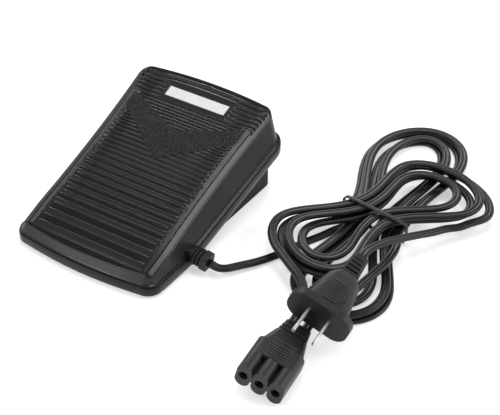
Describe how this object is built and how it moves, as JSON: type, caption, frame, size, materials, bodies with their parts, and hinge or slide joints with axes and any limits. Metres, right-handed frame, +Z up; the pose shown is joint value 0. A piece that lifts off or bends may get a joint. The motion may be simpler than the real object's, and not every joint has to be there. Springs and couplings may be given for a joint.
{
  "type": "sewing machine pedal",
  "caption": "Ribbed rocking foot control on a wedge base, with a flat twin cord tied in a hank, a three-way machine connector and a two-blade mains plug.",
  "frame": {"origin": "on the floor, under the middle of the pedal's length and width without its cord", "axes": "+X across the pedal to the side the cord leaves from, +Y from the heel to the toe, +Z up"},
  "size_m": [0.2399, 0.2673, 0.0552],
  "materials": {
    "black_shell": "satin moulded",
    "shell_grey": "satin moulded",
    "white_label": "smooth",
    "black_rubber": "matte",
    "cord_black": "semi-gloss",
    "tie_black": "satin",
    "moulded_black": "satin",
    "steel": "plated",
    "nickel": "nickel plated",
    "brass": "bright",
    "ivory_nylon": "satin",
    "track_brown": "smooth",
    "board_green": "satin",
    "package_black": "matte",
    "sink_aluminium": "extruded",
    "film_yellow": "smooth",
    "ceramic_white": "matte",
    "terminal_cream": "satin",
    "wire_brown": "semi-gloss"
  },
  "bodies": {
    "base": {"base_plate": "shell_grey", "rubber_feet": "black_rubber", "hinge_pins": "steel", "return_springs": "steel", "travel_screw": "steel", "pedal_cord": "cord_black", "pedal_cord_hank": "cord_black", "connector_lead": "cord_black", "mains_lead": "cord_black", "mains_cord_hank": "cord_black", "plug_lead": "cord_black", "cord_tie": "tie_black", "connector": "moulded_black", "connector_contacts": "brass", "mains_plug": "moulded_black", "plug_blades": "nickel"},
    "pedal": {"top_cover": "black_shell", "name_plate": "white_label", "lower_shell": "shell_grey", "cover_screws": "steel", "circuit_board": "board_green", "board_screws": "steel", "triac": "package_black", "heat_sink": "sink_aluminium", "film_capacitor": "film_yellow", "power_resistor": "ceramic_white", "speed_track": "track_brown", "lever_axle": "steel", "lever_spring": "steel", "terminal_block": "terminal_cream", "cord_clamp": "shell_grey", "clamp_screws": "steel", "strain_relief": "cord_black", "lead_wires": "wire_brown"},
    "lever": {"speed_lever": "ivory_nylon", "wiper_contact": "brass"}
  },
  "joints": [
    {"name": "pedal_press", "type": "hinge", "parent": "base", "child": "pedal", "pos_m": [0, -0.0465, 0.0082], "axis": [-1, 0, 0], "range_deg": [0, 4.2], "stiffness_Nm_per_rad": 8, "springref_deg": -5.73, "deforming": ["return_springs"]},
    {"name": "lever_swing", "type": "hinge", "parent": "pedal", "child": "lever", "pos_m": [0, 0.0275, 0.02616], "axis": [-1, 0, 0], "range_deg": [0, 12.6]}
  ],
  "couplings": [
    {"joint": "lever_swing", "follows": "pedal_press", "ratio": 3}
  ]
}
